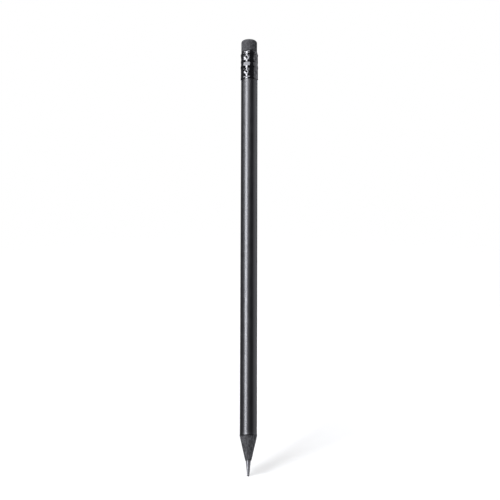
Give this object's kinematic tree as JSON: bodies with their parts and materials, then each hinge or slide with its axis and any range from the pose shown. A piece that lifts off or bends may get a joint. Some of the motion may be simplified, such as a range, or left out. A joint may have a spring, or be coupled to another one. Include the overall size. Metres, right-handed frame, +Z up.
{
  "type": "graphite pencil",
  "caption": "Round wood-cased graphite pencil: black-lacquered cedar slats round a lead, with a crimped black ferrule and a dark eraser.",
  "frame": {"origin": "the writing tip, on the pencil's axis", "axes": "+Z runs up the axis from the writing tip to the eraser; -Y is the front, the side that is looked at"},
  "size_m": [0.0076, 0.0076, 0.19],
  "materials": {
    "graphite": "satin, metallic grey sheen of fired graphite and clay",
    "dyed_wood": "matte, dyed black through, cut across the grain by a sharpener",
    "wood_glue": "dried film, hidden inside",
    "black_lacquer": "black lacquer, semi-gloss",
    "enamelled_ferrule": "thin aluminium tube, black enamel, gloss",
    "eraser_rubber": "matte dark grey, faintly mottled"
  },
  "bodies": {
    "root": {"graphite_lead": "graphite", "front_slat": "dyed_wood", "back_slat": "dyed_wood", "glue_film": "wood_glue", "lacquer_coat": "black_lacquer", "ferrule": "enamelled_ferrule", "eraser_plug": "eraser_rubber"}
  },
  "joints": []
}
